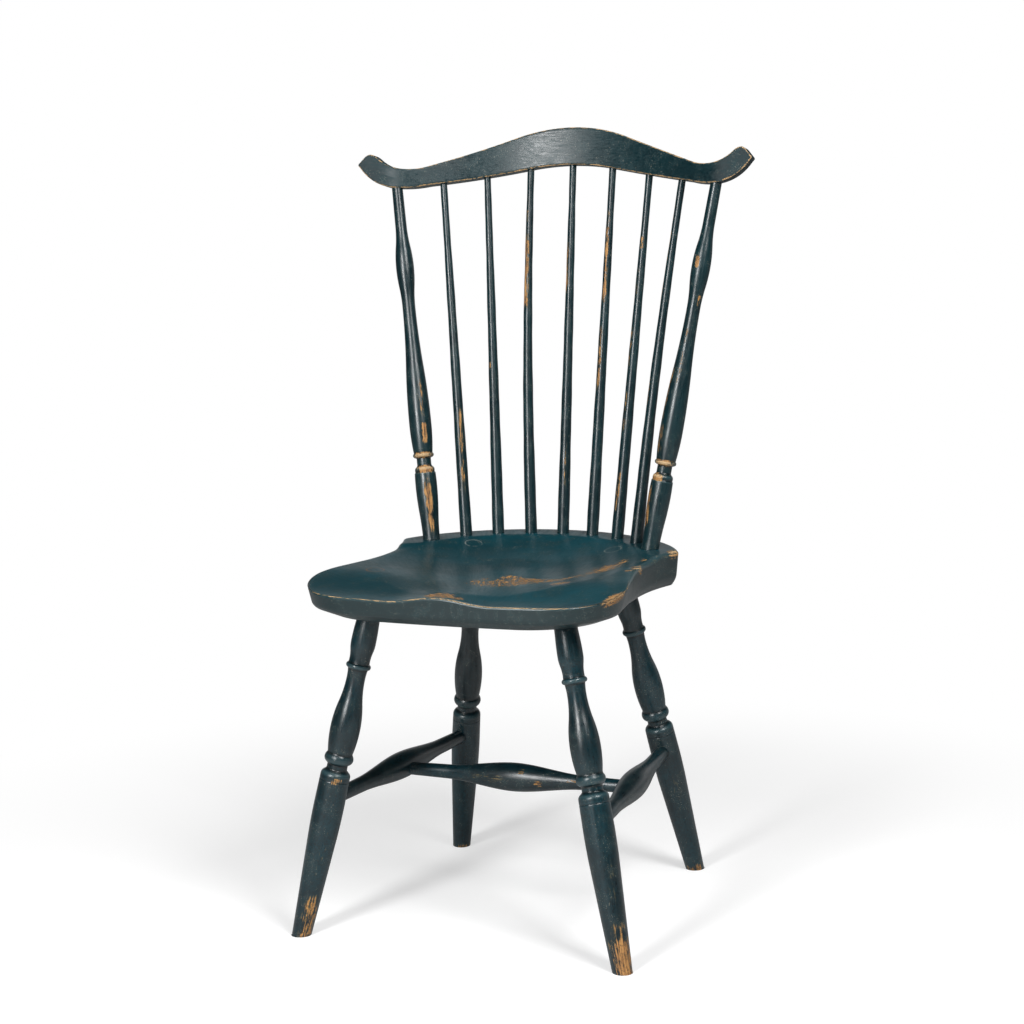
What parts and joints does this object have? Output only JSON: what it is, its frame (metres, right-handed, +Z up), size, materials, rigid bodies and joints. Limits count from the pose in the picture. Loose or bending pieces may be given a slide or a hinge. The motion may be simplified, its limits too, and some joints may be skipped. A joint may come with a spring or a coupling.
{
  "type": "windsor side chair",
  "caption": "Fan-back windsor side chair: saddled plank seat, turned splayed legs with stretchers, spindle back and a bent crest rail with ears.",
  "frame": {"origin": "on the floor, in the middle of the bounding box in plan", "axes": "+Z up, -Y towards the front edge of the seat, +X to the viewer's right when the chair is seen from the front"},
  "size_m": [0.524, 0.4798, 0.9465],
  "materials": {
    "aged_paint": "satin",
    "aged_paint_turned": "satin",
    "bare_wood": "satin"
  },
  "bodies": {
    "root": {"back_post_left": "aged_paint", "back_post_right": "aged_paint", "crest_peg_left": "bare_wood", "crest_peg_right": "bare_wood", "crest_rail": "aged_paint", "leg_back_left": "aged_paint_turned", "leg_back_right": "aged_paint_turned", "leg_front_left": "aged_paint_turned", "leg_front_right": "aged_paint_turned", "leg_wedge_back_left": "bare_wood", "leg_wedge_back_right": "bare_wood", "leg_wedge_front_left": "bare_wood", "leg_wedge_front_right": "bare_wood", "medial_stretcher": "aged_paint_turned", "post_wedge_left": "bare_wood", "post_wedge_right": "bare_wood", "seat": "aged_paint", "side_stretcher_left": "aged_paint_turned", "side_stretcher_right": "aged_paint_turned", "spindle_1": "aged_paint", "spindle_2": "aged_paint", "spindle_3": "aged_paint", "spindle_4": "aged_paint", "spindle_5": "aged_paint", "spindle_6": "aged_paint", "spindle_7": "aged_paint"}
  },
  "joints": []
}
